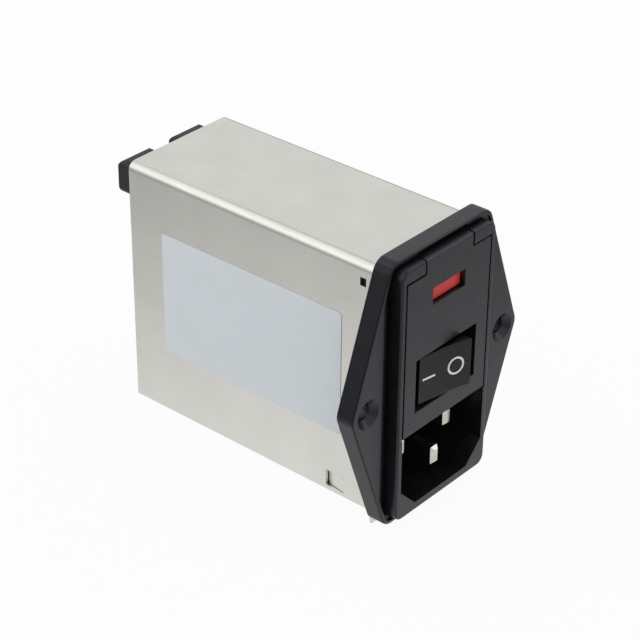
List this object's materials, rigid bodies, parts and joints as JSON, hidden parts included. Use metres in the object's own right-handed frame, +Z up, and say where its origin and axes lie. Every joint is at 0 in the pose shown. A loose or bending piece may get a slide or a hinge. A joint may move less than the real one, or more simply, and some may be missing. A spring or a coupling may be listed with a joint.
{
  "type": "power entry module",
  "caption": "Panel-mounted filtered mains inlet with a hinged fuse door, a tipping rocker switch and a folded metal filter can behind an eared flange.",
  "frame": {"origin": "midway between the two screw holes, on the flange's rear face, which meets the panel", "axes": "+X right seen from the front, +Y back through the panel along the can, +Z up"},
  "size_m": [0.0488, 0.0769, 0.0571],
  "materials": {
    "black_plastic": "fine moulded texture",
    "door_plastic": "fine moulded texture",
    "rocker_plastic": "smooth, slightly glossy",
    "red_plastic": "smooth moulded",
    "pale_plastic": "smooth moulded",
    "fuse_glass": "clear",
    "plated_metal": "nickel plated",
    "contact_brass": "bare brass",
    "plated_brass": "nickel plated brass",
    "can_metal": "satin tinned sheet",
    "label_film": "satin film, blank",
    "board": "lacquered laminate",
    "ferrite": "matte sintered",
    "copper": "enamelled copper",
    "capacitor_box": "smooth moulded",
    "capacitor_disc": "dipped resin",
    "lead_sleeve": "satin sleeve",
    "earth_sleeve": "satin sleeve"
  },
  "bodies": {
    "module": {"housing": "black_plastic", "fuse_carrier": "red_plastic", "fuse_glass_upper": "fuse_glass", "fuse_glass_lower": "fuse_glass", "fuse_caps": "plated_metal", "fuse_elements": "plated_metal", "fuse_clips": "contact_brass", "line_pin": "plated_brass", "neutral_pin": "plated_brass", "earth_pin": "plated_brass", "switch_body": "black_plastic", "common_terminals": "contact_brass", "output_terminals": "contact_brass", "filter_can": "can_metal", "label": "label_film", "rear_plate": "can_metal", "line_hood": "black_plastic", "neutral_hood": "black_plastic", "line_tab": "plated_brass", "neutral_tab": "plated_brass", "earth_tab": "plated_brass", "earth_rivet": "plated_metal", "circuit_board": "board", "choke_core": "ferrite", "line_winding": "copper", "neutral_winding": "copper", "x_capacitor": "capacitor_box", "y_capacitors": "capacitor_disc", "bleed_resistor": "capacitor_disc", "pin_leads": "lead_sleeve", "fuse_leads": "lead_sleeve", "switch_leads": "lead_sleeve", "earth_lead": "earth_sleeve"},
    "door": {"fuse_door": "door_plastic"},
    "rocker": {"rocker": "rocker_plastic", "rocker_plungers": "pale_plastic", "plunger_springs": "plated_metal"},
    "contacts": {"contact_arms": "contact_brass"}
  },
  "joints": [
    {"name": "door_hinge", "type": "hinge", "parent": "module", "child": "door", "pos_m": [0, -0.0046, -0.0077], "axis": [1, 0, 0], "range_deg": [0, 100]},
    {"name": "rocker_pivot", "type": "hinge", "parent": "module", "child": "rocker", "pos_m": [0, -0.0015, 0.0012], "axis": [0, 0, 1], "range_deg": [0, 25.8]},
    {"name": "contact_tilt", "type": "hinge", "parent": "module", "child": "contacts", "pos_m": [0, 0.0048, 0.0012], "axis": [0, 0, 1], "range_deg": [-12.1, 0]}
  ],
  "couplings": [
    {"joint": "contact_tilt", "follows": "rocker_pivot", "ratio": -0.4651}
  ]
}
